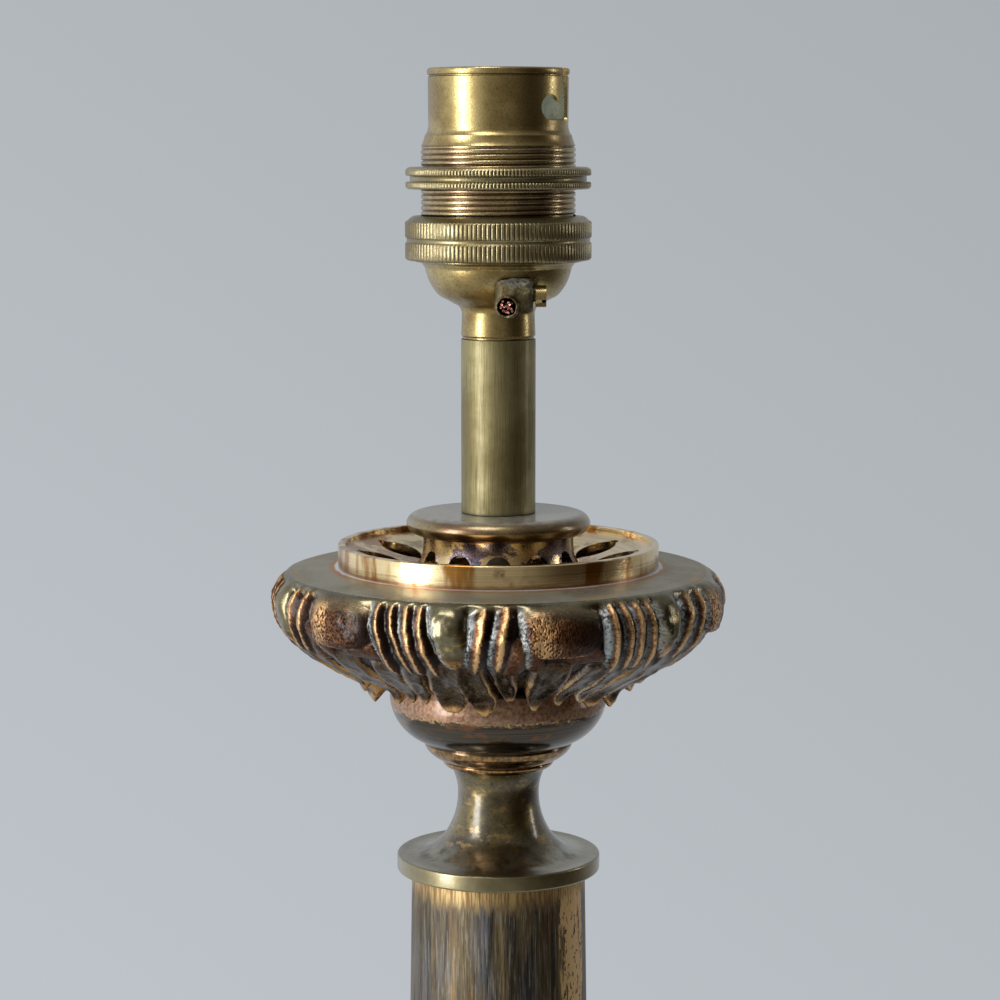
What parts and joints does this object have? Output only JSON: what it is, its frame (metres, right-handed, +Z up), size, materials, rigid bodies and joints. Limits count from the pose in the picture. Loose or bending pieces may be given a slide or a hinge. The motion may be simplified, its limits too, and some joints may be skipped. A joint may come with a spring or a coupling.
{
  "type": "column table lamp",
  "caption": "Brass column table lamp with a bayonet lampholder, an acanthus pan, a tapered column and a round foot.",
  "frame": {"origin": "middle of the felt's underside, on the table", "axes": "+Z up along the column; the lamp's front, with the earth terminal, faces -Y; +X is to the right seen from the front"},
  "size_m": [0.13, 0.1312, 0.4683],
  "materials": {
    "lampholder_brass": "antique satin, speckled",
    "stem_brass": "olive, brushed along its length",
    "flange_bronze": "brown satin, dusty on top",
    "patinated_collar": "dark patina with gilt patches",
    "gallery_brass": "polished, blotched",
    "acanthus_bronze": "worn gilding over dark bronze, dust in the grooves",
    "turned_bronze": "dark lacquer worn to gold",
    "column_brass": "streaked, gold worn to blue-black",
    "contact_brass": "bright",
    "copper": "bare copper",
    "porcelain": "glazed",
    "plated_steel": "zinc plated",
    "cast_iron": "as cast",
    "felt": "green felt"
  },
  "bodies": {
    "lamp": {"felt_pad": "felt", "base_plate": "plated_steel", "base_plate_screws": "plated_steel", "base_weight": "cast_iron", "rod_washer": "plated_steel", "rod_nut": "plated_steel", "threaded_rod": "plated_steel", "lamp_foot": "column_brass", "cable_bush": "lampholder_brass", "column_base_ring": "column_brass", "column_tube": "column_brass", "column_centring_disc": "contact_brass", "column_cap": "turned_bronze", "turned_bowl": "turned_bronze", "leaf_pan": "acanthus_bronze", "gallery_ring": "gallery_brass", "burner_collar": "patinated_collar", "stem_flange": "flange_bronze", "stem_tube": "stem_brass", "bottom_cup": "lampholder_brass", "earth_terminal": "lampholder_brass", "earth_clamp_screw": "lampholder_brass", "earth_strands": "copper", "union_ring": "lampholder_brass", "bayonet_barrel": "lampholder_brass", "contact_block": "porcelain", "contact_sleeve_left": "contact_brass", "contact_sleeve_right": "contact_brass", "plunger_spring_left": "plated_steel", "plunger_spring_right": "plated_steel", "terminal_screws": "contact_brass"},
    "shade_ring": {"shade_ring": "lampholder_brass"},
    "left_contact": {"contact_plunger_left": "contact_brass"},
    "right_contact": {"contact_plunger_right": "contact_brass"}
  },
  "joints": [
    {"name": "shade_ring_travel", "type": "slide", "parent": "lamp", "child": "shade_ring", "axis": [0, 0, 1], "range_m": [-0.00475, 0.00373]},
    {"name": "left_contact_press", "type": "slide", "parent": "lamp", "child": "left_contact", "axis": [0, 0, 1], "range_m": [-0.003, 0], "stiffness_N_per_m": 1000, "springref_m": 0.002, "deforming": ["plunger_spring_left"]},
    {"name": "right_contact_press", "type": "slide", "parent": "lamp", "child": "right_contact", "axis": [0, 0, 1], "range_m": [-0.003, 0], "stiffness_N_per_m": 1000, "springref_m": 0.002, "deforming": ["plunger_spring_right"]}
  ]
}
